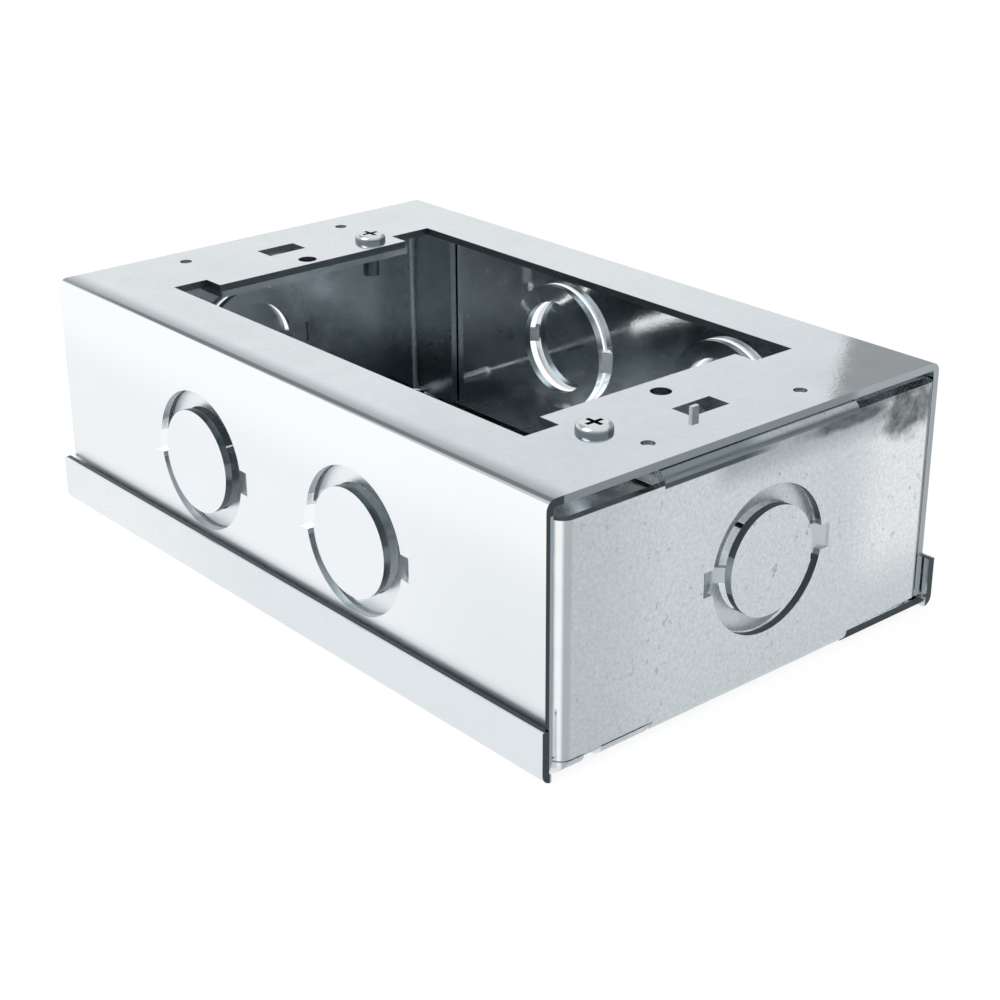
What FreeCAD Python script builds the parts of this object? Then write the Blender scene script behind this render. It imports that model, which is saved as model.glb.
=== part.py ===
import FreeCAD, Part
import math
import os

import Sketcher
from FreeCAD import Placement, Rotation, Vector

doc = FreeCAD.newDocument("device_box")

# Driving sizes in millimetres. X runs along the box, Y across it and Z up from its underside.
sizes = {
    "base_length": 156.6,
    "base_width": 101.6,
    "box_height": 50.3,
    "sheet_thickness": 1.5,
    "bend_radius": 0.5,
    "end_bend_radius": 1.3,
    # The tray's long edges turn up into low lips, and the cover's walls drop inside them.
    "lip_height": 10.0,
    "lip_clearance": 0.4,
    "cover_foot_clearance": 0.2,
    # The opening in the cover, set a little towards the far end, with a tongue at each end.
    "opening_length": 110.0,
    "opening_width": 67.2,
    "opening_shift": 0.9,
    "tongue_width": 49.0,
    "tongue_reach": 5.0,
    # The tongues and what is punched beyond them stand a little off the middle.
    "pattern_shift": 1.1,
    "device_hole_spacing": 108.0,
    "device_hole_diameter": 4.0,
    "slot_length": 9.4,
    "slot_width": 5.0,
    "slot_from_centre": 63.8,
    "lug_width": 1.7,
    "lug_thickness": 0.8,
    "lug_height": 1.7,
    "dimple_diameter": 2.6,
    "dimple_depth": 0.4,
    "dimple_from_centre": 70.0,
    "near_dimple_spacing": 38.0,
    "far_dimple_spacing": 41.4,
    # The tray's end walls, with a flange along the top and one down each side.
    "flange_clearance": 0.3,
    "side_flange_depth": 15.8,
    "top_flange_width": 49.0,
    "top_flange_offset": 0.5,
    "top_flange_from_tongue": 0.3,
    "bottom_bend_width": 51.0,
    "near_side_top_relief": 2.4,
    "far_side_top_relief": 1.5,
    "open_relief_height": 3.3,
    "strip_height": 2.4,
    "slit_height": 0.3,
    "strip_gap": 1.0,
    "strip_length": 10.9,
    "strip_notch": 4.0,
    # Concentric knockouts, two in each long wall and one in each end wall. The cover's blank is
    # punched a little off its folds, so those in the far side wall stand higher.
    "knockout_diameter": 28.4,
    "disc_diameter": 21.0,
    "ring_depth": 2.1,
    "disc_proud": 1.0,
    "tie_width": 4.8,
    "tie_root": 2.0,
    "tie_seat": 1.8,
    "disc_tie_width": 3.0,
    "disc_tie_reach": 1.5,
    "knockout_spacing": 50.0,
    "near_side_knockout_height": 25.3,
    "far_side_knockout_height": 27.0,
    "end_knockout_height": 24.8,
    "end_knockout_offset": 2.2,
    # Holes through the floor for fixing the box to what is behind it.
    "mounting_spacing_along": 90.0,
    "mounting_spacing_across": 50.0,
    "mounting_hole_diameter": 5.5,
    # Cover screws.
    "near_screw_from_centre": 59.7,
    "near_screw_from_middle": 22.7,
    "far_screw_from_centre": 57.0,
    "far_screw_from_middle": 18.2,
    "screw_diameter": 3.6,
    "screw_length": 8.0,
    "thread_clearance": 0.1,
    "cover_hole_clearance": 0.3,
    "head_diameter": 6.8,
    "head_height": 1.5,
    "head_round": 1.1,
    "recess_length": 3.8,
    "recess_width": 0.9,
    "recess_depth": 1.3,
}
sheet = doc.addObject("Spreadsheet::Sheet", "Sizes")
for row, (name, size) in enumerate(sizes.items(), start=1):
    sheet.set(f"A{row}", name)
    sheet.set(f"B{row}", str(size))
    sheet.setAlias(f"B{row}", name)
doc.recompute()

# Formulas that several pieces share, so that what fits together moves together.
SHEET = "Sizes.sheet_thickness"
OUTER_BEND = "(Sizes.bend_radius + Sizes.sheet_thickness)"
OUTER_END_BEND = "(Sizes.end_bend_radius + Sizes.sheet_thickness)"
HALF_LENGTH = "(Sizes.base_length / 2)"
HALF_WIDTH = "(Sizes.base_width / 2)"
PANEL_INNER = f"({HALF_LENGTH} - {SHEET})"
END_BEND_START = f"({HALF_LENGTH} - {OUTER_END_BEND})"
COVER_HALF_LENGTH = PANEL_INNER
COVER_HALF_WIDTH = f"({HALF_WIDTH} - {SHEET} - Sizes.lip_clearance)"
COVER_FOOT = f"({SHEET} + Sizes.bend_radius + Sizes.cover_foot_clearance)"
COVER_UNDERSIDE = f"(Sizes.box_height - {SHEET})"
END_HALF_WIDTH = f"({COVER_HALF_WIDTH} - {SHEET} - Sizes.flange_clearance)"
OPENING_SIDE = "(Sizes.opening_width / 2)"
OPENING_NEAR_END = "(Sizes.opening_length / 2 - Sizes.opening_shift)"
OPENING_FAR_END = "(Sizes.opening_length / 2 + Sizes.opening_shift)"
NEAR_TONGUE = f"({OPENING_NEAR_END} - Sizes.tongue_reach)"
FAR_TONGUE = f"({OPENING_FAR_END} - Sizes.tongue_reach)"
PATTERN_MIDDLE = "(-Sizes.pattern_shift)"
FLANGE_NEAR_SIDE = "(Sizes.top_flange_offset - Sizes.top_flange_width / 2)"
FLANGE_FAR_SIDE = "(Sizes.top_flange_offset + Sizes.top_flange_width / 2)"
BOTTOM_BEND_SIDE = "(Sizes.bottom_bend_width / 2)"
DEVICE_HOLE = "(Sizes.device_hole_spacing / 2)"
SLOT_INNER = "(Sizes.slot_from_centre - Sizes.slot_width / 2)"
SLOT_OUTER = "(Sizes.slot_from_centre + Sizes.slot_width / 2)"
SLOT_SIDE = "(Sizes.slot_length / 2)"
NEAR_SCREW = ("Sizes.near_screw_from_centre", "(-Sizes.near_screw_from_middle)")
FAR_SCREW = ("(-Sizes.far_screw_from_centre)", "Sizes.far_screw_from_middle")


def plane_of(body, role):
    """Find one of a body's own origin planes or axes."""
    return next(feature for feature in body.Origin.OriginFeatures if feature.Role == role)


def sketch_on(body, name, plane, x="0", y="0", z="0", turn=0, axis=Vector(0, 0, 1)):
    """Add a sketch on an origin plane, moved by formulas and turned in the plane's own frame."""
    sketch = body.newObject("Sketcher::SketchObject", name)
    sketch.AttachmentSupport = (plane_of(body, plane), [""])
    sketch.MapMode = "FlatFace"
    sketch.AttachmentOffset = Placement(Vector(), Rotation(axis, turn))
    sketch.setExpression("AttachmentOffset.Base.x", x)
    sketch.setExpression("AttachmentOffset.Base.y", y)
    sketch.setExpression("AttachmentOffset.Base.z", z)
    return sketch


def hold(sketch, kind, geometry, point, start, formula):
    """Hold a point of the sketch at a formula, measured from the sketch's origin."""
    number = sketch.addConstraint(Sketcher.Constraint(kind, -1, 1, geometry, point, start))
    sketch.setExpression(f"Constraints[{number}]", formula)


def polygon(sketch, corners):
    """Draw a closed outline whose corners are pairs of formulas."""
    count = len(corners)
    angles = [2 * math.pi * (index + 0.5) / count for index in range(count)]
    points = [Vector(math.cos(angle), math.sin(angle), 0) for angle in angles]
    sides = [
        sketch.addGeometry(Part.LineSegment(points[index], points[(index + 1) % count]))
        for index in range(count)
    ]
    for index in range(count):
        following = sides[(index + 1) % count]
        sketch.addConstraint(Sketcher.Constraint("Coincident", sides[index], 2, following, 1))
    for side, point, (across, up) in zip(sides, points, corners):
        hold(sketch, "DistanceX", side, 1, point.x, across)
        hold(sketch, "DistanceY", side, 1, point.y, up)


def rectangle(sketch, left, right, low, high):
    """Draw a rectangle between two formulas across and two up."""
    polygon(sketch, [(left, low), (right, low), (right, high), (left, high)])


def circle(sketch, diameter, across="0", up="0"):
    """Draw a circle with its diameter and centre held at formulas."""
    number = sketch.addGeometry(Part.Circle(Vector(1, 1, 0), Vector(0, 0, 1), 1))
    hold(sketch, "DistanceX", number, 3, 1, across)
    hold(sketch, "DistanceY", number, 3, 1, up)
    size = sketch.addConstraint(Sketcher.Constraint("Diameter", number, 2))
    sketch.setExpression(f"Constraints[{size}]", diameter)


def pad(body, name, sketch, length, inwards=False, both_ways=False):
    """Raise a solid from a sketch."""
    feature = body.newObject("PartDesign::Pad", name)
    feature.Profile = sketch
    feature.Reversed = inwards
    feature.Midplane = both_ways
    feature.setExpression("Length", length)
    return feature


def pocket(body, name, sketch, depth):
    """Cut from a sketch against its plane's normal, and check that something came away."""
    before = body.Tip.Shape.Volume
    feature = body.newObject("PartDesign::Pocket", name)
    feature.Profile = sketch
    feature.setExpression("Length", depth)
    doc.recompute()
    if feature.Shape.Volume > before - 0.01:
        raise RuntimeError(f"{name} cut nothing")
    return feature


def cut_down(body, name, top, depth, left, right, low, high):
    """Cut a rectangle straight down from a height."""
    sketch = sketch_on(body, f"{name}_outline", "XY_Plane", z=top)
    rectangle(sketch, left, right, low, high)
    return pocket(body, name, sketch, depth)


def drill_down(body, name, top, depth, diameter, centres):
    """Cut round holes straight down from a height."""
    sketch = sketch_on(body, f"{name}_outline", "XY_Plane", z=top)
    for across, up in centres:
        circle(sketch, diameter, across, up)
    return pocket(body, name, sketch, depth)


def round_edges(body, name, chosen, radius):
    """Fillet the edges of the body's last feature whose boxes pass a test."""
    base = body.Tip
    edges = [
        f"Edge{number}"
        for number, edge in enumerate(base.Shape.Edges, start=1)
        if chosen(edge.BoundBox)
    ]
    feature = body.newObject("PartDesign::Fillet", name)
    feature.Base = (base, edges)
    feature.setExpression("Radius", radius)
    doc.recompute()
    return feature


def shell(body, name, opened):
    """Hollow the body's last feature to one sheet, open at the faces whose boxes pass a test."""
    base = body.Tip
    faces = [
        f"Face{number}"
        for number, face in enumerate(base.Shape.Faces, start=1)
        if opened(face.BoundBox)
    ]
    feature = body.newObject("PartDesign::Thickness", name)
    feature.Base = (base, faces)
    feature.Mode = "Skin"
    feature.Join = "Arc"
    feature.Reversed = True
    feature.setExpression("Value", SHEET)
    doc.recompute()
    return feature


def knockout(body, plane, face, across, up, tie_plan, opposite=False):
    """Punch one concentric knockout into a wall.

    The ring is pushed in behind the wall on two sloping ties, and the disc is pushed back out
    of the ring on one tie. face is the wall's distance along the plane's normal, and tie_plan
    is the place and turn of the ties' plan, whose y points inwards. For the opposite wall both
    run the other way.
    """
    sign = "-" if opposite else ""
    facing = {"turn": 180, "axis": Vector(1, 0, 0)} if opposite else {}
    ring_back = f"(Sizes.ring_depth + {SHEET})"
    disc_back = f"({SHEET} - Sizes.disc_proud)"
    outer_radius = "(Sizes.knockout_diameter / 2)"
    disc_radius = "(Sizes.disc_diameter / 2)"
    root = f"({outer_radius} + Sizes.tie_root)"
    seat = f"({outer_radius} - Sizes.tie_seat)"
    disc_root = f"({disc_radius} - Sizes.disc_tie_reach)"
    disc_seat = f"({disc_radius} + Sizes.disc_tie_reach)"

    def wall_sketch(name, distance):
        return sketch_on(body, name, plane, across, up, f"{sign}({distance})", **facing)

    hole_sketch = wall_sketch("knockout_hole_outline", face)
    circle(hole_sketch, "Sizes.knockout_diameter")
    hole = pocket(body, "knockout_hole", hole_sketch, SHEET)

    notch_sketch = wall_sketch("knockout_notch_outline", face)
    rectangle(notch_sketch, f"-{root}", root, "-Sizes.tie_width / 2", "Sizes.tie_width / 2")
    notch = pocket(body, "knockout_notch", notch_sketch, SHEET)

    tie_sketch = sketch_on(body, "knockout_ties_outline", "XY_Plane", **tie_plan)
    for side in ("", "-"):
        polygon(tie_sketch, [
            (f"{side}{root}", "0"),
            (f"{side}{seat}", f"{sign}Sizes.ring_depth"),
            (f"{side}{seat}", f"{sign}{ring_back}"),
            (f"{side}{root}", f"{sign}{SHEET}"),
        ])
    ties = pad(body, "knockout_ties", tie_sketch, "Sizes.tie_width", both_ways=True)

    ring_sketch = wall_sketch("knockout_ring_outline", f"{face} - Sizes.ring_depth")
    circle(ring_sketch, "Sizes.knockout_diameter")
    circle(ring_sketch, "Sizes.disc_diameter")
    ring = pad(body, "knockout_ring", ring_sketch, SHEET, inwards=True)

    disc_tie_sketch = sketch_on(body, "knockout_disc_tie_outline", "XY_Plane", **tie_plan)
    polygon(disc_tie_sketch, [
        (f"-{disc_root}", f"{sign}(-Sizes.disc_proud)"),
        (f"-{disc_seat}", f"{sign}Sizes.ring_depth"),
        (f"-{disc_seat}", f"{sign}{ring_back}"),
        (f"-{disc_root}", f"{sign}{disc_back}"),
    ])
    disc_tie = pad(body, "knockout_disc_tie", disc_tie_sketch, "Sizes.disc_tie_width", both_ways=True)

    disc_sketch = wall_sketch("knockout_disc_outline", f"{face} + Sizes.disc_proud")
    circle(disc_sketch, "Sizes.disc_diameter")
    disc = pad(body, "knockout_disc", disc_sketch, SHEET, inwards=True)
    doc.recompute()
    return [hole, notch, ties, ring, disc_tie, disc]


# The cover is one sheet folded into a channel: the top plate and the two long walls.
def make_cover():
    body = doc.addObject("PartDesign::Body", "Cover")
    body.Label = "cover"

    plan = sketch_on(body, "cover_plan", "XY_Plane", z=COVER_FOOT)
    rectangle(plan, f"-{COVER_HALF_LENGTH}", COVER_HALF_LENGTH, f"-{COVER_HALF_WIDTH}", COVER_HALF_WIDTH)
    pad(body, "cover_block", plan, f"Sizes.box_height - {COVER_FOOT}")
    doc.recompute()
    whole = body.Shape.BoundBox
    round_edges(
        body,
        "cover_bends",
        lambda box: box.ZMin > whole.ZMax - 0.01 and box.XLength > whole.XLength / 2,
        OUTER_BEND,
    )
    shell(
        body,
        "cover_channel",
        lambda box: box.ZMax < whole.ZMin + 0.01 or box.XLength < 0.01,
    )

    # The opening, with the tongue that is left at the middle of each end.
    top = "Sizes.box_height"
    tongue_low = f"({PATTERN_MIDDLE} - Sizes.tongue_width / 2)"
    tongue_high = f"({PATTERN_MIDDLE} + Sizes.tongue_width / 2)"
    opening = sketch_on(body, "opening_outline", "XY_Plane", z=top)
    polygon(opening, [
        (f"-{OPENING_FAR_END}", f"-{OPENING_SIDE}"),
        (OPENING_NEAR_END, f"-{OPENING_SIDE}"),
        (OPENING_NEAR_END, tongue_low),
        (NEAR_TONGUE, tongue_low),
        (NEAR_TONGUE, tongue_high),
        (OPENING_NEAR_END, tongue_high),
        (OPENING_NEAR_END, OPENING_SIDE),
        (f"-{OPENING_FAR_END}", OPENING_SIDE),
        (f"-{OPENING_FAR_END}", tongue_high),
        (f"-{FAR_TONGUE}", tongue_high),
        (f"-{FAR_TONGUE}", tongue_low),
        (f"-{OPENING_FAR_END}", tongue_low),
    ])
    pocket(body, "opening", opening, SHEET)

    # The device hole and the slot of one end, mirrored for the other.
    device_hole = drill_down(
        body, "device_hole", top, SHEET, "Sizes.device_hole_diameter", [(DEVICE_HOLE, PATTERN_MIDDLE)],
    )
    slot_low = f"({PATTERN_MIDDLE} - {SLOT_SIDE})"
    slot_high = f"({PATTERN_MIDDLE} + {SLOT_SIDE})"
    slot = cut_down(body, "slot", top, SHEET, SLOT_INNER, SLOT_OUTER, slot_low, slot_high)
    other_end = body.newObject("PartDesign::Mirrored", "other_end")
    other_end.Originals = [device_hole, slot]
    other_end.MirrorPlane = (plane_of(body, "YZ_Plane"), [""])
    body.Tip = other_end
    doc.recompute()

    # The cover screws' holes, the locating dimples, and the lug bent up in the near slot's corner.
    screw_hole_size = "Sizes.screw_diameter + 2 * Sizes.cover_hole_clearance"
    drill_down(body, "screw_holes", top, SHEET, screw_hole_size, [NEAR_SCREW, FAR_SCREW])
    drill_down(body, "dimples", top, "Sizes.dimple_depth", "Sizes.dimple_diameter", [
        (f"{end}Sizes.dimple_from_centre", f"{PATTERN_MIDDLE} {side} Sizes.{spacing} / 2")
        for end, spacing in (("", "near_dimple_spacing"), ("-", "far_dimple_spacing"))
        for side in ("-", "+")
    ])
    lug_plan = sketch_on(body, "lug_plan", "XY_Plane", z=COVER_UNDERSIDE)
    lug_inner = f"({SLOT_OUTER} - Sizes.lug_thickness)"
    rectangle(lug_plan, lug_inner, SLOT_OUTER, slot_low, f"({slot_low} + Sizes.lug_width)")
    pad(body, "lug", lug_plan, f"{SHEET} + Sizes.lug_height")
    doc.recompute()

    # Two knockouts along each long wall.
    first = "-Sizes.knockout_spacing / 2"
    first_knockouts = []
    for side, opposite in (("near", False), ("far", True)):
        height = f"Sizes.{side}_side_knockout_height"
        wall_outside = COVER_HALF_WIDTH if opposite else f"-{COVER_HALF_WIDTH}"
        tie_plan = {"x": first, "y": wall_outside, "z": height}
        first_knockouts += knockout(
            body, "XZ_Plane", COVER_HALF_WIDTH, first, height, tie_plan, opposite,
        )
    along = body.newObject("PartDesign::LinearPattern", "knockouts_along")
    along.Originals = first_knockouts
    along.Direction = (plane_of(body, "X_Axis"), [""])
    along.setExpression("Length", "Sizes.knockout_spacing")
    along.Occurrences = 2
    body.Tip = along
    doc.recompute()
    return body


# One end of the tray: the end wall with its bottom bend, its top flange and its two side flanges.
# The places are in the end's own frame: its tongue's tip, the middle of its holes and its screw.
def make_tray_end(name, tongue, holes_middle, screw):
    body = doc.addObject("PartDesign::Body", name)
    plan = sketch_on(body, "end_plan", "XY_Plane")
    flange_end = f"({tongue} + Sizes.top_flange_from_tongue)"
    rectangle(plan, flange_end, HALF_LENGTH, f"-{END_HALF_WIDTH}", END_HALF_WIDTH)
    pad(body, "end_block", plan, COVER_UNDERSIDE)
    doc.recompute()
    whole = body.Shape.BoundBox
    round_edges(
        body,
        "end_bends",
        lambda box: box.XMin > whole.XMax - 0.01,
        OUTER_END_BEND,
    )
    shell(body, "end_pan", lambda box: box.XMax < whole.XMin + 0.01)

    # The top flange keeps only its middle, and the wall stops lower beside it.
    beyond = f"{HALF_LENGTH} + 1"
    top = COVER_UNDERSIDE
    cut_down(
        body, "near_top_relief", top, "Sizes.near_side_top_relief",
        "0", beyond, f"-{HALF_WIDTH}", FLANGE_NEAR_SIDE,
    )
    cut_down(
        body, "far_top_relief", top, "Sizes.far_side_top_relief",
        "0", beyond, FLANGE_FAR_SIDE, HALF_WIDTH,
    )
    side_flange_end = f"({HALF_LENGTH} - Sizes.side_flange_depth)"
    for side, low, high in (
        ("near", f"-{HALF_WIDTH}", FLANGE_NEAR_SIDE),
        ("far", FLANGE_FAR_SIDE, HALF_WIDTH),
    ):
        cut_down(body, f"{side}_side_flange_end", top, top, "0", side_flange_end, low, high)

    # Only the middle of the bottom bend is whole. The far side is open below the wall. The near
    # side keeps two low strips of the bend, parted from the wall by a slit.
    slit_top = "(Sizes.strip_height + Sizes.slit_height)"
    cut_down(
        body, "open_relief", "Sizes.open_relief_height", "Sizes.open_relief_height",
        "0", beyond, BOTTOM_BEND_SIDE, HALF_WIDTH,
    )
    cut_down(
        body, "flange_foot", slit_top, slit_top,
        "0", END_BEND_START, f"-{HALF_WIDTH}", f"-{BOTTOM_BEND_SIDE}",
    )
    cut_down(
        body, "slit", slit_top, "Sizes.slit_height",
        "0", beyond, f"-{HALF_WIDTH}", f"-{BOTTOM_BEND_SIDE}",
    )
    gap_end = f"(-{BOTTOM_BEND_SIDE} - Sizes.strip_gap)"
    strip_end = f"({gap_end} - Sizes.strip_length)"
    notch_end = f"({strip_end} - Sizes.strip_notch)"
    cut_down(body, "strip_gap", slit_top, slit_top, "0", beyond, gap_end, f"-{BOTTOM_BEND_SIDE}")
    cut_down(body, "strip_notch", slit_top, slit_top, "0", beyond, notch_end, strip_end)

    # Holes in the top flange under the cover's own: device screw, slot and cover screw.
    drill_down(
        body, "flange_device_hole", top, SHEET, "Sizes.device_hole_diameter",
        [(DEVICE_HOLE, holes_middle)],
    )
    slot_low = f"({holes_middle} - {SLOT_SIDE})"
    slot_high = f"({holes_middle} + {SLOT_SIDE})"
    cut_down(body, "flange_slot", top, SHEET, SLOT_INNER, SLOT_OUTER, slot_low, slot_high)
    thread_size = "Sizes.screw_diameter + 2 * Sizes.thread_clearance"
    drill_down(body, "flange_screw_hole", top, SHEET, thread_size, [screw])

    offset = "Sizes.end_knockout_offset"
    height = "Sizes.end_knockout_height"
    tie_plan = {"x": HALF_LENGTH, "y": offset, "z": height, "turn": 90}
    knockout(body, "YZ_Plane", HALF_LENGTH, offset, height, tie_plan)
    return body


# The tray is one sheet: the floor with its two long lips, and the two end walls folded up from it.
def make_tray():
    body = doc.addObject("PartDesign::Body", "TrayFloor")
    plan = sketch_on(body, "floor_plan", "XY_Plane")
    rectangle(plan, f"-{HALF_LENGTH}", HALF_LENGTH, f"-{HALF_WIDTH}", HALF_WIDTH)
    pad(body, "floor_block", plan, "Sizes.lip_height")
    doc.recompute()
    whole = body.Shape.BoundBox
    round_edges(
        body,
        "lip_bends",
        lambda box: box.ZMax < whole.ZMin + 0.01 and box.XLength > whole.XLength / 2,
        OUTER_BEND,
    )
    shell(
        body,
        "floor_channel",
        lambda box: box.ZMin > whole.ZMax - 0.01 or box.XLength < 0.01,
    )
    lip_bend_start = f"({HALF_WIDTH} - {OUTER_BEND})"
    end_cut = cut_down(
        body, "end_bend_cut", SHEET, SHEET,
        END_BEND_START, f"{HALF_LENGTH} + 1", f"-{lip_bend_start}", BOTTOM_BEND_SIDE,
    )
    open_cut = cut_down(
        body, "open_relief_cut", SHEET, SHEET,
        PANEL_INNER, f"{HALF_LENGTH} + 1", BOTTOM_BEND_SIDE, lip_bend_start,
    )
    other_end = body.newObject("PartDesign::PolarPattern", "other_floor_end")
    other_end.Originals = [end_cut, open_cut]
    other_end.Axis = (plane_of(body, "Z_Axis"), [""])
    other_end.Angle = 360
    other_end.Occurrences = 2
    body.Tip = other_end
    doc.recompute()
    drill_down(body, "mounting_holes", SHEET, SHEET, "Sizes.mounting_hole_diameter", [
        (f"{along}Sizes.mounting_spacing_along / 2", f"{across}Sizes.mounting_spacing_across / 2")
        for along in ("-", "")
        for across in ("-", "")
    ])

    # The far end is made in the near one's place and turned half a turn.
    near_end = make_tray_end("TrayNearEnd", NEAR_TONGUE, PATTERN_MIDDLE, NEAR_SCREW)
    turned_screw = tuple(f"(-{place})" for place in FAR_SCREW)
    far_end = make_tray_end("TrayFarEnd", FAR_TONGUE, f"(-{PATTERN_MIDDLE})", turned_screw)
    far_end.Placement = Placement(Vector(), Rotation(Vector(0, 0, 1), 180))
    tray = doc.addObject("Part::MultiFuse", "Tray")
    tray.Label = "base_tray"
    tray.Shapes = [body, near_end, far_end]
    tray.Refine = True
    doc.recompute()
    return tray


# A pan-head screw with a cross recess, driven down through the cover into the tray's flange.
def make_screw(label, place):
    body = doc.addObject("PartDesign::Body", label)
    body.Label = label
    profile = sketch_on(body, "screw_profile", "XZ_Plane")
    polygon(profile, [
        ("0", "-Sizes.screw_length"),
        ("Sizes.screw_diameter / 2", "-Sizes.screw_length"),
        ("Sizes.screw_diameter / 2", "0"),
        ("Sizes.head_diameter / 2", "0"),
        ("Sizes.head_diameter / 2", "Sizes.head_height"),
        ("0", "Sizes.head_height"),
    ])
    turned = body.newObject("PartDesign::Revolution", "screw_turned")
    turned.Profile = profile
    turned.ReferenceAxis = (profile, ["V_Axis"])
    turned.Angle = 360
    doc.recompute()
    whole = body.Shape.BoundBox
    round_edges(body, "head_round", lambda box: box.ZMin > whole.ZMax - 0.01, "Sizes.head_round")
    top = "Sizes.head_height"
    half_length = "Sizes.recess_length / 2"
    half_width = "Sizes.recess_width / 2"
    for name, across, up in (
        ("recess", half_length, half_width),
        ("recess_cross", half_width, half_length),
    ):
        cut_down(body, name, top, "Sizes.recess_depth", f"-{across}", across, f"-{up}", up)
    across, up = place
    body.setExpression("Placement.Base.x", across)
    body.setExpression("Placement.Base.y", up)
    body.setExpression("Placement.Base.z", "Sizes.box_height")
    doc.recompute()
    return body


sub_parts = [
    make_cover(),
    make_tray(),
    make_screw("cover_screw_near", NEAR_SCREW),
    make_screw("cover_screw_far", FAR_SCREW),
]
doc.recompute()

for thing in doc.Objects:
    if "Invalid" in thing.State or "Error" in thing.State:
        raise RuntimeError(f"{thing.Label} failed: {thing.State}")
for part in sub_parts:
    if part.Shape.isNull() or not part.Shape.isValid():
        raise RuntimeError(f"{part.Label} has no valid shape")
    if len(part.Shape.Solids) != 1:
        raise RuntimeError(f"{part.Label} is {len(part.Shape.Solids)} solids")

os.makedirs("parts", exist_ok=True)
for part in sub_parts:
    part.Shape.exportStep(f"parts/{part.Label}.step")
    print(part.Label, round(part.Shape.Volume, 1), part.Shape.BoundBox)
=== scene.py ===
import math

import bpy
from mathutils import Matrix, Vector

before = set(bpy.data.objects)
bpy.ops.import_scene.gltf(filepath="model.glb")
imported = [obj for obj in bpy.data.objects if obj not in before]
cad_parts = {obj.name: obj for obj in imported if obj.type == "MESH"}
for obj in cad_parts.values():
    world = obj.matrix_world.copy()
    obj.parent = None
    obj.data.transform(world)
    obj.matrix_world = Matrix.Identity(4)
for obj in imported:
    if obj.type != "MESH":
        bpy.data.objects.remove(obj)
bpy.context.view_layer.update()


# The cover: one sheet of galvanised steel, sheared, punched and folded into a channel. Its zinc is
# bright and nearly a mirror, with a painted dark reflection along the near fold, painted light and
# shade on the walls, painted shade inside, and bare steel at its sheared edges. Two screws hold it to
# the tray.
COVER_ZINC = "#DAE0E4"
COVER_ZINC_NEAR = "#D0D7DB"
COVER_WALL_PAINTED_LIGHT = "#F0F4F7"
COVER_PAINTED_HIGHLIGHT = "#FAFDFE"
COVER_WALL_LOW_SHADE = "#E6EBEE"
COVER_MOTTLE_AND_FOLD_REFLECTION = "#8F999E"
COVER_INSIDE = "#F3F6F7"
COVER_INSIDE_SHADE = "#858E93"
PUNCHED_EDGE = "#B4BCC0"
PUNCHED_RIM = "#6E787D"
SHEARED_EDGE_AND_BEND_SHADE = "#3C464A"
SHEARED_EDGE_GREY = "#838C91"
SHEARED_EDGE_PAINTED_LIGHT = "#A3ACB0"
SHEARED_EDGE_HIGHLIGHT = "#98A1A6"
# Sizes and places in the materials are millimetres, as in the part. The knockouts' height lies
# between the near long wall's and the far one's, which stand a little higher.
SHEET = 1.5
COVER_HALF_LENGTH = 76.8
COVER_HALF_WIDTH = 48.9
BOX_HEIGHT = 50.3
COVER_MIDDLE = (0, 0, BOX_HEIGHT / 2)
COVER_HALF_SIZE = (COVER_HALF_LENGTH, COVER_HALF_WIDTH, BOX_HEIGHT / 2)
LONG_WALL_INSIDE = 45
LONG_WALL_FACE = COVER_HALF_WIDTH - 0.6
COVER_END = COVER_HALF_LENGTH - 0.3
PLATE_UNDERSIDE = BOX_HEIGHT - SHEET
KNOCKOUT_ALONG = 25
KNOCKOUT_HEIGHT = 26
DISC_RIM = 12
RINGS_FROM, RINGS_TO = 8, 44
TIES_FROM, TIES_TO = 22, 30
DIMPLES_FROM, DIMPLES_TO = 67, 73.5
OPENING_REACH = 57
NEAR_TONE_FROM = 70
WALL_HIGH_FROM = 44
WALL_FOOT = 12
INSIDE_LOW_TO = 8
INSIDE_FAR_TO = -25
# A span that ends this far off has no end on that side.
FAR_AWAY = 999
# The metals' gloss drifts over patches of this size and is rougher where it has been dulled. The grain
# is a fine relief of this size and depth.
GLOSS_PATCH = 7
DULLED_BY = 0.25
GRAIN_SIZE = 0.625
GRAIN_DEPTH = 0.04


def colour(code):
    """A screen colour such as "#D3D9DF" as the linear values that a shader takes."""
    channels = [int(code[place:place + 2], 16) / 255 for place in (1, 3, 5)]
    linear = [c / 12.92 if c <= 0.04045 else ((c + 0.055) / 1.055) ** 2.4 for c in channels]
    return (*linear, 1)


def add_node(tree, kind, inputs=None, **settings):
    """Add one node with its settings. Each input is a value or the output that feeds it."""
    node = tree.nodes.new(kind)
    for name, value in settings.items():
        setattr(node, name, value)
    for name, value in (inputs or {}).items():
        if isinstance(value, bpy.types.NodeSocket):
            tree.links.new(value, node.inputs[name])
        else:
            node.inputs[name].default_value = value
    return node


def start_metal(name):
    """Begin a metal's material: the material, its tree, its shader, and place (mm) and normal."""
    material = bpy.data.materials.new(name)
    material.use_nodes = True
    tree = material.node_tree
    shader = tree.nodes["Principled BSDF"]
    shader.inputs["Metallic"].default_value = 1
    where = add_node(tree, "ShaderNodeTexCoord")
    place = add_node(
        tree, "ShaderNodeVectorMath", {0: where.outputs["Object"], "Scale": 1000}, operation="SCALE",
    ).outputs[0]
    return material, tree, shader, place, where.outputs["Normal"]


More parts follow.
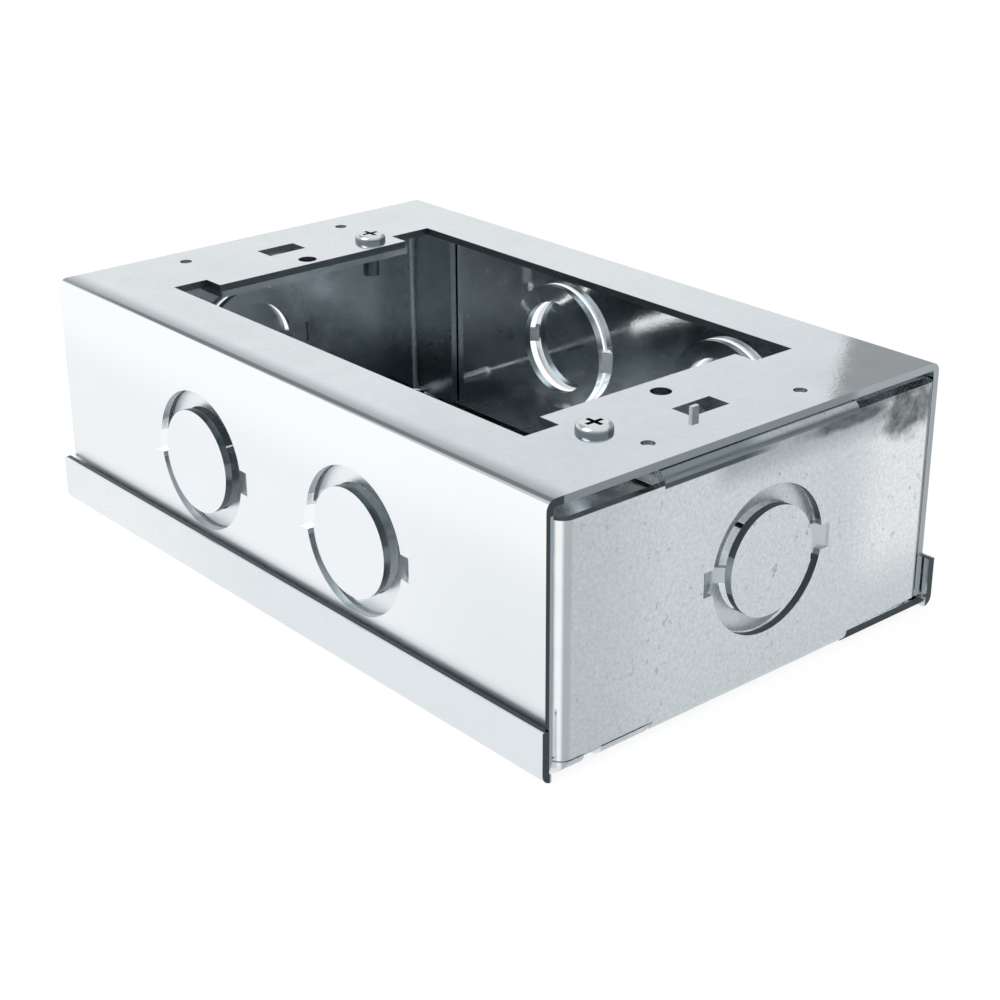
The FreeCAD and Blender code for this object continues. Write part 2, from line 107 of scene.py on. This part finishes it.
def within(tree, vector, soft, mask=1.0, **spans):
    """A mask that is 1 inside a box, given as spans on X, Y and Z, and fades over soft beside it.

    It is the product of one smooth step at each end of each span, times the mask passed in.
    """
    axes = add_node(tree, "ShaderNodeSeparateXYZ", {0: vector})
    for axis, (low, high) in spans.items():
        for outer, inner in ((low - soft, low), (high + soft, high)):
            if abs(inner) == FAR_AWAY:
                continue
            step = add_node(
                tree, "ShaderNodeMapRange",
                {"Value": axes.outputs[axis], "From Min": outer, "From Max": inner},
                interpolation_type="SMOOTHSTEP",
            ).outputs[0]
            mask = add_node(tree, "ShaderNodeMath", {0: step, 1: mask}, operation="MULTIPLY").outputs[0]
    return mask


def any_of(tree, first, *others):
    """Where at least one of several masks holds: the greatest of them."""
    for mask in others:
        first = add_node(tree, "ShaderNodeMath", {0: first, 1: mask}, operation="MAXIMUM").outputs[0]
    return first


def looks_in(tree, place, normal, middle, half_size):
    """A mask of the faces that look into the box.

    There the normal points against the place, which is taken from the middle in half sizes.
    """
    offset = add_node(
        tree, "ShaderNodeVectorMath", {0: place, 1: middle}, operation="SUBTRACT",
    ).outputs[0]
    scaled = add_node(
        tree, "ShaderNodeVectorMath", {0: offset, 1: half_size}, operation="DIVIDE",
    ).outputs[0]
    outwards = add_node(
        tree, "ShaderNodeVectorMath", {0: scaled, 1: normal}, operation="DOT_PRODUCT",
    ).outputs["Value"]
    return add_node(
        tree, "ShaderNodeMapRange", {"Value": outwards, "From Min": 0.1, "From Max": -0.1},
    ).outputs[0]


def lay_over(tree, first, *coats):
    """Lay coats over a first colour, each a screen colour and the mask that says where it is."""
    for code, mask in coats:
        first = add_node(
            tree, "ShaderNodeMix", {"Factor": mask, 6: first, 7: colour(code)}, data_type="RGBA",
        ).outputs[2]
    return first


def cloud(tree, place, size, low, high, detail=4, roughness=0.5):
    """Noise in patches of about size millimetres, stretched so that it runs from low to high."""
    noise = add_node(
        tree, "ShaderNodeTexNoise",
        {"Vector": place, "Scale": 1 / size, "Detail": detail, "Roughness": roughness},
    ).outputs[0]
    return add_node(
        tree, "ShaderNodeMapRange",
        {"Value": noise, "From Min": 0.35, "From Max": 0.65, "To Min": low, "To Max": high},
    ).outputs[0]


def roughen(tree, shader, place, low, high, bump, dulled):
    """Give the metal a roughness that drifts between low and high, and a grain as strong as bump.

    Where tools or wear have dulled it, it is rougher.
    """
    gloss = cloud(tree, place, GLOSS_PATCH, low, high)
    duller = add_node(
        tree, "ShaderNodeMath", {0: dulled, 1: DULLED_BY, 2: gloss}, operation="MULTIPLY_ADD",
    ).outputs[0]
    tree.links.new(duller, shader.inputs["Roughness"])
    grain = add_node(
        tree, "ShaderNodeTexNoise", {"Vector": place, "Scale": 1 / GRAIN_SIZE, "Detail": 5},
    ).outputs[0]
    relief = add_node(
        tree, "ShaderNodeBump",
        {"Height": grain, "Strength": bump, "Distance": GRAIN_DEPTH / 1000},
    ).outputs[0]
    tree.links.new(relief, shader.inputs["Normal"])


def find_cover_cuts(tree, place, spread, facing):
    """A mask of the cover's sheared and punched edges.

    A face of the sheet looks up or down on the plate and sideways elsewhere. The rest is cut.
    """
    parts = add_node(tree, "ShaderNodeSeparateXYZ", {0: facing})
    plate = within(tree, place, 0.3, Z=(PLATE_UNDERSIDE - 1, FAR_AWAY))
    off_plate = any_of(
        tree,
        within(tree, spread, 0.3, Y=(COVER_HALF_WIDTH - 2.2, FAR_AWAY)),
        within(tree, place, 0.3, Z=(-FAR_AWAY, PLATE_UNDERSIDE - SHEET)),
    )
    level = add_node(
        tree, "ShaderNodeMath", {0: parts.outputs["Z"], 1: plate}, operation="MULTIPLY",
    ).outputs[0]
    upright = add_node(
        tree, "ShaderNodeMath", {0: parts.outputs["Y"], 1: off_plate}, operation="MULTIPLY",
    ).outputs[0]
    lug = within(tree, place, 0.1, Z=(BOX_HEIGHT + 0.1, FAR_AWAY))
    return add_node(
        tree, "ShaderNodeMapRange",
        {"Value": any_of(tree, level, upright, lug), "From Min": 0.65, "From Max": 0.4},
    ).outputs[0]


def cover_punched_coats(tree, place, spread, cut, struck):
    """The coats of the punched edges.

    The ties that hold the knockouts get a painted highlight. The rims of the discs, of the plate's
    dimples and of its opening are darker than the other edges.
    """
    without_y = add_node(
        tree, "ShaderNodeVectorMath", {0: spread, 1: (1, 0, 1)}, operation="MULTIPLY",
    ).outputs[0]
    from_knockout = add_node(
        tree, "ShaderNodeVectorMath",
        {0: without_y, 1: (KNOCKOUT_ALONG, 0, KNOCKOUT_HEIGHT)}, operation="DISTANCE",
    ).outputs["Value"]
    rim = add_node(
        tree, "ShaderNodeMapRange",
        {"Value": from_knockout, "From Min": DISC_RIM + 0.6, "From Max": DISC_RIM, "To Max": cut},
    ).outputs[0]
    tie_height = within(tree, place, 0.2, struck, Z=(TIES_FROM, TIES_TO))
    past_disc = add_node(
        tree, "ShaderNodeMapRange",
        {"Value": from_knockout, "From Min": DISC_RIM + 0.6, "From Max": DISC_RIM + 1, "To Max": tie_height},
    ).outputs[0]
    tie_highlight = within(tree, spread, 0.3, past_disc, Y=(LONG_WALL_INSIDE, FAR_AWAY))
    plate_cut = within(tree, place, 0.3, cut, Z=(PLATE_UNDERSIDE, FAR_AWAY))
    dimple = within(tree, spread, 0.2, plate_cut, X=(DIMPLES_FROM, DIMPLES_TO))
    opening = within(tree, spread, 0.2, plate_cut, X=(-FAR_AWAY, OPENING_REACH))
    return (
        (PUNCHED_EDGE, cut),
        (COVER_PAINTED_HIGHLIGHT, tie_highlight),
        (PUNCHED_RIM, any_of(tree, rim, dimple, opening)),
    )


def cover_sheared_coats(tree, place, spread, cut):
    """The coats of the sheet's sheared outline.

    At the near end it is grey along the plate, and paler towards the far side, which is painted light.
    On the near long wall a bright strip on the inner side of the cut is a painted highlight.
    """
    outline = any_of(
        tree,
        within(tree, spread, 0.1, X=(COVER_END, FAR_AWAY)),
        within(tree, place, 0.1, Z=(-FAR_AWAY, 2.4)),
    )
    sheared = add_node(tree, "ShaderNodeMath", {0: cut, 1: outline}, operation="MULTIPLY").outputs[0]
    near_end = within(tree, place, 0.1, sheared, X=(COVER_END, FAR_AWAY))
    grey = within(
        tree, spread, 0.3, near_end, Y=(-FAR_AWAY, LONG_WALL_INSIDE), Z=(PLATE_UNDERSIDE, FAR_AWAY),
    )
    pale = any_of(
        tree,
        within(tree, place, 4, near_end, Y=(27, FAR_AWAY)),
        within(tree, place, 0.3, near_end, Y=(COVER_HALF_WIDTH - SHEET, FAR_AWAY)),
    )
    strip_highlight = within(
        tree, place, 0.15, near_end,
        Y=(-COVER_HALF_WIDTH + 0.95, -LONG_WALL_INSIDE), Z=(-FAR_AWAY, PLATE_UNDERSIDE - SHEET),
    )
    return (
        (SHEARED_EDGE_AND_BEND_SHADE, sheared),
        (SHEARED_EDGE_GREY, grey),
        (SHEARED_EDGE_PAINTED_LIGHT, pale),
        (SHEARED_EDGE_HIGHLIGHT, strip_highlight),
    )


def make_cover_material():
    """Bright zinc: a pale metal with a soft mirror's gloss, so it takes its tones from around it."""
    material, tree, shader, place, normal = start_metal("bright galvanised sheet")
    facing = add_node(tree, "ShaderNodeVectorMath", {0: normal}, operation="ABSOLUTE").outputs[0]
    spread = add_node(tree, "ShaderNodeVectorMath", {0: place}, operation="ABSOLUTE").outputs[0]
    cut = find_cover_cuts(tree, place, spread, facing)

    # Inside, the walls get painted shade, darkest low down and towards the far end.
    inner = looks_in(tree, place, normal, COVER_MIDDLE, COVER_HALF_SIZE)
    low_down = within(tree, place, 10, inner, Z=(-FAR_AWAY, INSIDE_LOW_TO))
    inner_low_shade = within(tree, place, 30, low_down, X=(-FAR_AWAY, INSIDE_FAR_TO))

    # Set back from the long walls are the knockouts' rings, which the punch has dulled. The lips of
    # the tray have rubbed the feet of the walls dull.
    set_back = within(
        tree, spread, 0.3, Y=(LONG_WALL_INSIDE, LONG_WALL_FACE), Z=(RINGS_FROM, RINGS_TO),
    )
    ring = add_node(
        tree, "ShaderNodeMath", {0: set_back, 1: inner}, operation="SUBTRACT", use_clamp=True,
    ).outputs[0]
    wall = any_of(tree, within(tree, spread, 0.4, Y=(LONG_WALL_FACE, FAR_AWAY)), ring)
    # The walls and the knockouts' rings are painted paler than the plate, as painted light, with a painted
    # highlight towards the top of the walls and painted shade low down towards the near end.
    wall_top_highlight = within(tree, place, 12, wall, Z=(WALL_HIGH_FROM, FAR_AWAY))
    wall_low_shade = within(
        tree, place, 45, wall, X=(NEAR_TONE_FROM, FAR_AWAY), Z=(-FAR_AWAY, WALL_FOOT),
    )
    foot = within(tree, place, 3, wall, Z=(-FAR_AWAY, WALL_FOOT))
    struck = any_of(tree, cut, ring)
    roughen(tree, shader, place, low=0.04, high=0.08, bump=0.1, dulled=any_of(tree, struck, foot))

    # A dark soft band along the near fold is a painted reflection; the two clouds over the sheet are the
    # zinc's own mottling, in the same colour.
    fold = within(tree, place, 0.6, Z=(BOX_HEIGHT - 0.5, FAR_AWAY))
    painted = lay_over(
        tree, colour(COVER_ZINC),
        (COVER_ZINC_NEAR, within(tree, place, 70, X=(NEAR_TONE_FROM, FAR_AWAY))),
        (COVER_MOTTLE_AND_FOLD_REFLECTION, within(tree, place, 5, fold, Y=(-FAR_AWAY, -COVER_HALF_WIDTH + 1))),
        (COVER_MOTTLE_AND_FOLD_REFLECTION, cloud(tree, place, 12, low=0, high=0.1, detail=6, roughness=0.65)),
        (COVER_MOTTLE_AND_FOLD_REFLECTION, cloud(tree, place, 1.1, low=0, high=0.1, detail=3, roughness=0.7)),
        (COVER_WALL_PAINTED_LIGHT, wall),
        (COVER_PAINTED_HIGHLIGHT, wall_top_highlight),
        (COVER_WALL_LOW_SHADE, wall_low_shade),
        (COVER_INSIDE, inner),
        (COVER_INSIDE_SHADE, inner_low_shade),
        *cover_punched_coats(tree, place, spread, cut, struck),
        *cover_sheared_coats(tree, place, spread, cut),
    )
    tree.links.new(painted, shader.inputs["Base Color"])
    return material


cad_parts["cover"].material_slots[0].material = make_cover_material()


# The tray: one sheet of the same steel, with the floor, the low lips and the end walls folded up from
# it. Its zinc has dulled unevenly, with dark specks and a stain at the near wall's upper corner.
TRAY_ZINC = "#D5DCE0"
TRAY_ZINC_PALE = "#F0F3F5"
TRAY_ZINC_GREY = "#C4CCD0"
TRAY_BEND_HIGHLIGHT = "#F6F9FA"
TRAY_LIP = "#E2E8EB"
TRAY_LIP_FAR = "#EDF1F3"
TRAY_MARK = "#717B80"
TRAY_STAIN = "#4F595D"
TRAY_SHADE = "#ADB5B9"
TRAY_BEND_DARK_REFLECTION = "#7B858A"
TRAY_CREASE_SHADE = "#4A5357"
TRAY_INSIDE = "#E0E6E9"
TRAY_INSIDE_SHADE = "#687175"
TRAY_HALF_LENGTH = 78.3
TRAY_HALF_WIDTH = 50.8
TRAY_HEIGHT = 48.8
TRAY_MIDDLE = (0, 0, TRAY_HEIGHT / 2)
TRAY_HALF_SIZE = (TRAY_HALF_LENGTH, TRAY_HALF_WIDTH, TRAY_HEIGHT / 2)
LIP_HEIGHT = 10
END_BEND = 2.8
BEND_FOOT = TRAY_HEIGHT - END_BEND
FLANGE_NEAR_SIDE = -24
FLANGE_FAR_SIDE = 25
GREY_SIDE_TO = -42
PALE_SIDE_FROM = 35
PALE_HEIGHT_FROM = 20
SHADE_FROM, SHADE_TO = -8, 28
CREASE_TO = -6
FAR_TONE_TO = -60
END_RINGS_REACH = 40
END_RINGS_FROM, END_RINGS_TO = 6, 44
TRAY_TIES_FROM, TRAY_TIES_TO = 21.5, 28.2
CORNER_STAIN = (TRAY_HALF_LENGTH, 39, 43.8)
CORNER_STAIN_SIZE = (6, 9, 5)
BEND_STAIN = (TRAY_HALF_LENGTH, 23, 46)
BEND_STAIN_SIZE = (6, 13, 1.6)


def blotch(tree, place, centre, size, ragged, grain):
    """A soft oval mask round centre, of about size each way, with a ragged edge.

    It is the distance from centre, taken in sizes, plus noise, faded from 1 within to 0 beyond.
    """
    offset = add_node(
        tree, "ShaderNodeVectorMath", {0: place, 1: centre}, operation="SUBTRACT",
    ).outputs[0]
    scaled = add_node(
        tree, "ShaderNodeVectorMath", {0: offset, 1: size}, operation="DIVIDE",
    ).outputs[0]
    distance = add_node(
        tree, "ShaderNodeVectorMath", {0: scaled}, operation="LENGTH",
    ).outputs["Value"]
    shaken = add_node(
        tree, "ShaderNodeMath",
        {0: distance, 1: cloud(tree, place, grain, -ragged, ragged, detail=5, roughness=0.65)},
        operation="ADD",
    ).outputs[0]
    return add_node(
        tree, "ShaderNodeMapRange", {"Value": shaken, "From Min": 1.3, "From Max": 0.5},
        interpolation_type="SMOOTHSTEP",
    ).outputs[0]


def tray_tone_coats(tree, place, near_wall):
    """The near wall's broad tones: grey at its left, pale at its right and shaded under the bend."""
    grey = within(tree, place, 22, near_wall, Y=(-FAR_AWAY, GREY_SIDE_TO))
    pale = within(
        tree, place, 13, near_wall, Y=(PALE_SIDE_FROM, FAR_AWAY), Z=(PALE_HEIGHT_FROM, FAR_AWAY),
    )
    shaded = within(
        tree, place, 6, near_wall, Y=(SHADE_FROM, SHADE_TO), Z=(BEND_FOOT - 0.5, FAR_AWAY),
    )
    return (TRAY_ZINC_GREY, grey), (TRAY_ZINC_PALE, pale), (TRAY_SHADE, shaded)


def tray_wear_coats(tree, place):
    """The coats of age: a fine speckle, dark marks here and there, and the stain under the bend."""
    speckled = cloud(tree, place, 0.8, low=0, high=0.26, detail=4, roughness=0.75)
    fine = cloud(tree, place, 2, low=0, high=1, detail=5, roughness=0.7)
    specks = add_node(
        tree, "ShaderNodeMapRange", {"Value": fine, "From Min": 0.9, "To Max": 0.55},
    ).outputs[0]
    broad = cloud(tree, place, 16, low=0, high=1, detail=2)
    marks = add_node(tree, "ShaderNodeMath", {0: specks, 1: broad}, operation="MULTIPLY").outputs[0]
    stained = any_of(
        tree,
        blotch(tree, place, CORNER_STAIN, CORNER_STAIN_SIZE, ragged=0.2, grain=4),
        blotch(tree, place, BEND_STAIN, BEND_STAIN_SIZE, ragged=0.14, grain=5),
    )
    uneven = cloud(tree, place, 2.6, low=0.72, high=1, detail=5, roughness=0.7)
    stain = add_node(tree, "ShaderNodeMath", {0: stained, 1: uneven}, operation="MULTIPLY").outputs[0]
    return (TRAY_MARK, speckled), (TRAY_MARK, marks), (TRAY_STAIN, stain)


def tray_bend_coats(tree, place, normal, near_wall):
    """The coats of the near wall's bends.

    The top one has a painted dark reflection, with painted shade in a crease at the left of its foot.
    The left one has a painted highlight beside a crease of painted shade, and the right one painted shade.
    """
    bend_width = within(tree, place, 0.3, near_wall, Y=(FLANGE_NEAR_SIDE, FLANGE_FAR_SIDE))
    top = within(tree, place, 0.3, bend_width, Z=(BEND_FOOT + 0.9, BEND_FOOT + 1.4))
    above_foot = within(tree, place, 0.4, near_wall, Z=(BEND_FOOT + 0.6, FAR_AWAY))
    top_left = within(tree, place, 8, above_foot, Y=(FLANGE_NEAR_SIDE - 9, CREASE_TO))
    foot = within(tree, place, 0.3, bend_width, Z=(BEND_FOOT - 0.1, BEND_FOOT + 0.5))
    return (
        (TRAY_BEND_DARK_REFLECTION, top),
        (TRAY_BEND_DARK_REFLECTION, top_left),
        (TRAY_CREASE_SHADE, within(tree, place, 12, foot, Y=(-FAR_AWAY, CREASE_TO))),
        (TRAY_SHADE, within(tree, normal, 0.25, near_wall, Y=(-0.5, -0.3))),
        (TRAY_BEND_HIGHLIGHT, within(tree, normal, 0.2, near_wall, Y=(-FAR_AWAY, -0.75))),
        (SHEARED_EDGE_AND_BEND_SHADE, within(tree, normal, 0.25, near_wall, Y=(0.3, FAR_AWAY))),
    )


def tray_inside_coats(tree, place, facing, inner):
    """The coats of the faces inside: painted shade makes the far end's walls greyer, and darkest low down.
    """
    upright = within(tree, facing, 0.3, inner, Z=(-FAR_AWAY, 0.3))
    far_end_shade = within(tree, place, 60, upright, X=(-FAR_AWAY, FAR_TONE_TO))
    return (
        (TRAY_INSIDE, inner),
        (TRAY_ZINC_GREY, far_end_shade),
        (TRAY_INSIDE_SHADE, within(tree, place, 16, far_end_shade, Z=(-FAR_AWAY, INSIDE_LOW_TO))),
    )


def find_tray_shears(tree, place, facing, spread, lip):
    """A mask of the bare steel edges: the lips' tops and ends, and the open reliefs of the near end.

    A lip's top is bright along its outer corner.
    """
    lip_edge = within(
        tree, spread, 0.15, lip,
        Y=(-FAR_AWAY, TRAY_HALF_WIDTH - 0.5), Z=(LIP_HEIGHT - 0.3, FAR_AWAY),
    )
    relief = within(
        tree, place, 0.2,
        X=(TRAY_HALF_LENGTH - 2, TRAY_HALF_LENGTH - 1), Z=(-FAR_AWAY, SHEET),
    )
    return any_of(
        tree,
        within(tree, facing, 0.2, lip_edge, Z=(0.8, FAR_AWAY)),
        within(tree, facing, 0.2, lip, X=(0.8, FAR_AWAY)),
        within(tree, facing, 0.2, relief, X=(0.8, FAR_AWAY)),
    )


def make_tray_material():
    """Dulled zinc: a little rougher than the cover's, cloudy in tone, with dark specks and a stain."""
    material, tree, shader, place, normal = start_metal("mottled galvanised sheet")
    facing = add_node(tree, "ShaderNodeVectorMath", {0: normal}, operation="ABSOLUTE").outputs[0]
    spread = add_node(tree, "ShaderNodeVectorMath", {0: place}, operation="ABSOLUTE").outputs[0]
    near_wall = within(tree, place, 0.3, X=(TRAY_HALF_LENGTH - END_BEND, FAR_AWAY))
    inner = looks_in(tree, place, normal, TRAY_MIDDLE, TRAY_HALF_SIZE)
    lip = within(tree, spread, 0.2, Y=(TRAY_HALF_WIDTH - SHEET - 0.1, FAR_AWAY))

    # Round the knockouts are the punched edges and the rings, which the punch has dulled.
    end_walls = within(
        tree, spread, 0.3, X=(TRAY_HALF_LENGTH - 4.5, FAR_AWAY),
        Y=(-FAR_AWAY, END_RINGS_REACH), Z=(END_RINGS_FROM, END_RINGS_TO),
    )
    punched = within(tree, facing, 0.2, end_walls, X=(-FAR_AWAY, 0.35))
    set_back = within(tree, spread, 0.2, end_walls, X=(-FAR_AWAY, TRAY_HALF_LENGTH - 0.4))
    ring = add_node(
        tree, "ShaderNodeMath", {0: set_back, 1: inner}, operation="SUBTRACT", use_clamp=True,
    ).outputs[0]
    struck = any_of(tree, punched, ring)
    roughen(tree, shader, place, low=0.16, high=0.28, bump=0.2, dulled=struck)

    painted = lay_over(
        tree, colour(TRAY_ZINC),
        *tray_tone_coats(tree, place, near_wall),
        *tray_wear_coats(tree, place),
        *tray_bend_coats(tree, place, normal, near_wall),
        *tray_inside_coats(tree, place, facing, inner),
        (TRAY_LIP, lip),
        (TRAY_LIP_FAR, within(tree, place, 70, lip, X=(-FAR_AWAY, FAR_TONE_TO))),
        (PUNCHED_RIM, punched),
        # Painted light and shade: the ties are painted a middle grey, darker than the highlight on them and
        # lighter than the shade in their notches.
        (TRAY_ZINC_GREY, within(tree, place, 0.3, struck, Z=(TRAY_TIES_FROM, TRAY_TIES_TO))),
        (SHEARED_EDGE_AND_BEND_SHADE, find_tray_shears(tree, place, facing, spread, lip)),
    )
    tree.links.new(painted, shader.inputs["Base Color"])
    return material


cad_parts["base_tray"].material_slots[0].material = make_tray_material()


# The two cover screws: pan heads with a cross recess, cold-headed from steel wire and zinc plated.
# They pass through the cover and turn in the flanges of the tray.
SCREW_ZINC = "#D2D8DC"
SCREW_FLANK_SHADE = "#7B858A"
SCREW_RECESS_SHADE = "#3C464A"
HEAD_HEIGHT = 1.5
RECESS_REACH = 2.4
NEAR_SCREW = (59.7, -22.7, BOX_HEIGHT)
FAR_SCREW = (-57, 18.2, BOX_HEIGHT)


def make_screw_material():
    """Zinc plate on a formed head: bright above, with painted shade down the head's side and in the recess.
    """
    material, tree, shader, place, normal = start_metal("zinc-plated screw steel")
    facing = add_node(tree, "ShaderNodeVectorMath", {0: normal}, operation="ABSOLUTE").outputs[0]
    flank_shade = within(tree, facing, 0.5, Z=(-FAR_AWAY, 0.2))
    to_near, to_far = [
        add_node(
            tree, "ShaderNodeVectorMath", {0: place, 1: screw}, operation="DISTANCE",
        ).outputs["Value"]
        for screw in (NEAR_SCREW, FAR_SCREW)
    ]
    to_middle = add_node(tree, "ShaderNodeMath", {0: to_near, 1: to_far}, operation="MINIMUM").outputs[0]
    below_top = within(tree, place, 0.05, Z=(-FAR_AWAY, BOX_HEIGHT + HEAD_HEIGHT - 0.12))
    recess = add_node(
        tree, "ShaderNodeMapRange",
        {"Value": to_middle, "From Min": RECESS_REACH + 0.2, "From Max": RECESS_REACH, "To Max": below_top},
    ).outputs[0]
    roughen(tree, shader, place, low=0.15, high=0.25, bump=0.3, dulled=recess)
    painted = lay_over(tree, colour(SCREW_ZINC), (SCREW_FLANK_SHADE, flank_shade), (SCREW_RECESS_SHADE, recess))
    tree.links.new(painted, shader.inputs["Base Color"])
    return material


screw_material = make_screw_material()
for name in ("cover_screw_near", "cover_screw_far"):
    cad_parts[name].material_slots[0].material = screw_material


# The studio floor: a wide pale sheet that the camera and the metal see as white, with the box's soft
# shadow on it.
FLOOR_HALF = 3
FLOOR_PALE = "#F2F2F2"
FLOOR_FAINT = "#7C7C7C"
GLOW_IN_METAL = 0.75
GLOW_TO_CAMERA = 0.85


def add_flat(name, centre, across, up, material):
    """Add a flat sheet as a mesh: centre plus or minus the half vectors across and up."""
    centre, across, up = Vector(centre), Vector(across), Vector(up)
    corners = [centre - across - up, centre + across - up, centre + across + up, centre - across + up]
    mesh = bpy.data.meshes.new(name)
    mesh.from_pydata(corners, [], [(0, 1, 2, 3)])
    mesh.materials.append(material)
    flat = bpy.data.objects.new(name, mesh)
    bpy.context.scene.collection.objects.link(flat)
    return flat


def make_floor_material():
    """Pale paper: nearly white to the camera and in the metal, where only part of it takes shadow."""
    material = bpy.data.materials.new("pale paper")
    material.use_nodes = True
    tree = material.node_tree
    tree.nodes.remove(tree.nodes["Principled BSDF"])
    plain = add_node(tree, "ShaderNodeBsdfDiffuse", {"Color": colour(FLOOR_PALE)})
    faint = add_node(tree, "ShaderNodeBsdfDiffuse", {"Color": colour(FLOOR_FAINT)})
    path = add_node(tree, "ShaderNodeLightPath")
    strength = add_node(
        tree, "ShaderNodeMapRange",
        {"Value": path.outputs["Is Camera Ray"], "To Min": GLOW_IN_METAL, "To Max": GLOW_TO_CAMERA},
    ).outputs[0]
    glow = add_node(tree, "ShaderNodeEmission", {"Strength": strength})
    seen = add_node(tree, "ShaderNodeAddShader", {0: faint.outputs[0], 1: glow.outputs[0]})
    lit = any_of(tree, path.outputs["Is Camera Ray"], path.outputs["Is Glossy Ray"])
    mixed = add_node(tree, "ShaderNodeMixShader", {0: lit, 1: plain.outputs[0], 2: seen.outputs[0]})
    tree.links.new(mixed.outputs[0], tree.nodes["Material Output"].inputs["Surface"])
    return material


add_flat("floor", (0, 0, 0), (FLOOR_HALF, 0, 0), (0, FLOOR_HALF, 0), make_floor_material())


# The dark cards: two grey boards stood round the box, which only its metal shows. One gives the bends
# and edges their dark lines, and the other darkens the corner of the plate that is furthest right.
CARD_DISTANCE = 4


def make_card_material(name, level):
    """Grey board that gives back an even, low light."""
    material = bpy.data.materials.new(name)
    material.use_nodes = True
    tree = material.node_tree
    tree.nodes.remove(tree.nodes["Principled BSDF"])
    even = add_node(tree, "ShaderNodeEmission", {"Strength": level})
    tree.links.new(even.outputs[0], tree.nodes["Material Output"].inputs["Surface"])
    return material


def add_card(name, turn_from, turn_to, rise_from, rise_to, level):
    """Stand a card that spans those turns and rises, in degrees, as seen from the box.

    A turn is counted from the box's far end towards its far side. The card stands square to the line
    from the box to its middle, and half of each span is the angle from there to its edge.
    """
    turn = math.radians((turn_from + turn_to) / 2)
    rise = math.radians((rise_from + rise_to) / 2)
    half_turn = math.radians((turn_to - turn_from) / 2)
    half_rise = math.radians((rise_to - rise_from) / 2)
    along = Vector((-math.cos(turn), math.sin(turn), 0)) * math.cos(rise)
    towards = along + Vector((0, 0, math.sin(rise)))
    across = Vector((math.sin(turn), math.cos(turn), 0))
    up = across.cross(towards)
    half_width = CARD_DISTANCE * math.cos(rise) * math.tan(half_turn)
    half_height = CARD_DISTANCE * math.tan(half_rise)
    card = add_flat(
        name, towards * CARD_DISTANCE, across * half_width, up * half_height,
        make_card_material(f"{name} board", level),
    )
    card.visible_camera = False
    card.visible_diffuse = False
    card.visible_shadow = False


add_card(
    "dark card over the far end", turn_from=-70, turn_to=30, rise_from=35, rise_to=60, level=0.6,
)
add_card(
    "grey card beyond the far side", turn_from=53.4, turn_to=135, rise_from=-4, rise_to=36, level=0.45,
)


# The light: plain white surroundings on every side, which the metal mirrors, and one wide soft lamp
# over the long wall that the photograph shows.
STUDIO_WHITE = "#FFFFFF"
WHITE_AS_SEEN = 1
WHITE_AS_LIGHT = 0.85
LAMP_PLACE = Vector((-0.15, -0.75, 0.85))
LAMP_WIDTH = 0.8
LAMP_WATTS = 6


def make_surroundings():
    """Surround the box with white that the camera and the metal see, and that lights it evenly."""
    world = bpy.data.worlds.new("studio")
    world.use_nodes = True
    tree = world.node_tree
    path = add_node(tree, "ShaderNodeLightPath")
    shiny = any_of(tree, path.outputs["Is Glossy Ray"], path.outputs["Is Transmission Ray"])
    seen = any_of(tree, path.outputs["Is Camera Ray"], shiny)
    strength = add_node(
        tree, "ShaderNodeMapRange", {"Value": seen, "To Min": WHITE_AS_LIGHT, "To Max": WHITE_AS_SEEN},
    ).outputs[0]
    tree.links.new(strength, tree.nodes["Background"].inputs["Strength"])
    tree.nodes["Background"].inputs["Color"].default_value = colour(STUDIO_WHITE)
    bpy.context.scene.world = world


def hang_lamp():
    """Hang one wide soft lamp on the side of the long wall that the photograph shows."""
    lamp = bpy.data.lights.new("soft lamp", "AREA")
    lamp.shape = "DISK"
    lamp.size = LAMP_WIDTH
    lamp.energy = LAMP_WATTS
    holder = bpy.data.objects.new("soft lamp", lamp)
    turn = LAMP_PLACE.to_track_quat("Z", "Y").to_matrix().to_4x4()
    holder.matrix_world = Matrix.Translation(LAMP_PLACE) @ turn
    bpy.context.scene.collection.objects.link(holder)


make_surroundings()
hang_lamp()


# The camera: where the photograph was taken from, fitted to the straight edges of the box. Its angles
# are degrees, its lens and sensor millimetres, and its places metres.
CAMERA_AZIMUTH = 49.486
CAMERA_ELEVATION = 23.765
CAMERA_ROLL = -0.275
CAMERA_TARGET = Vector((0.00846, 0, 0.013727))
CAMERA_DISTANCE = 0.39543
CAMERA_LENS = 70.435
CAMERA_SENSOR = 36
CAMERA_NEAREST = 0.01


def place_camera():
    """Aim the camera at its target from its azimuth and elevation, then roll it about its own axis."""
    azimuth, elevation = math.radians(CAMERA_AZIMUTH), math.radians(CAMERA_ELEVATION)
    back = Vector((
        math.sin(azimuth) * math.cos(elevation),
        -math.cos(azimuth) * math.cos(elevation),
        math.sin(elevation),
    ))
    camera = bpy.data.objects.new("camera", bpy.data.cameras.new("camera"))
    camera.data.sensor_width = CAMERA_SENSOR
    camera.data.lens = CAMERA_LENS
    camera.data.clip_start = CAMERA_NEAREST
    turn = back.to_track_quat("Z", "Y").to_matrix().to_4x4()
    stand = Matrix.Translation(CAMERA_TARGET + back * CAMERA_DISTANCE)
    camera.matrix_world = stand @ turn @ Matrix.Rotation(math.radians(CAMERA_ROLL), 4, "Z")
    bpy.context.scene.collection.objects.link(camera)
    bpy.context.scene.camera = camera


place_camera()
bpy.context.scene.view_settings.view_transform = "Standard"
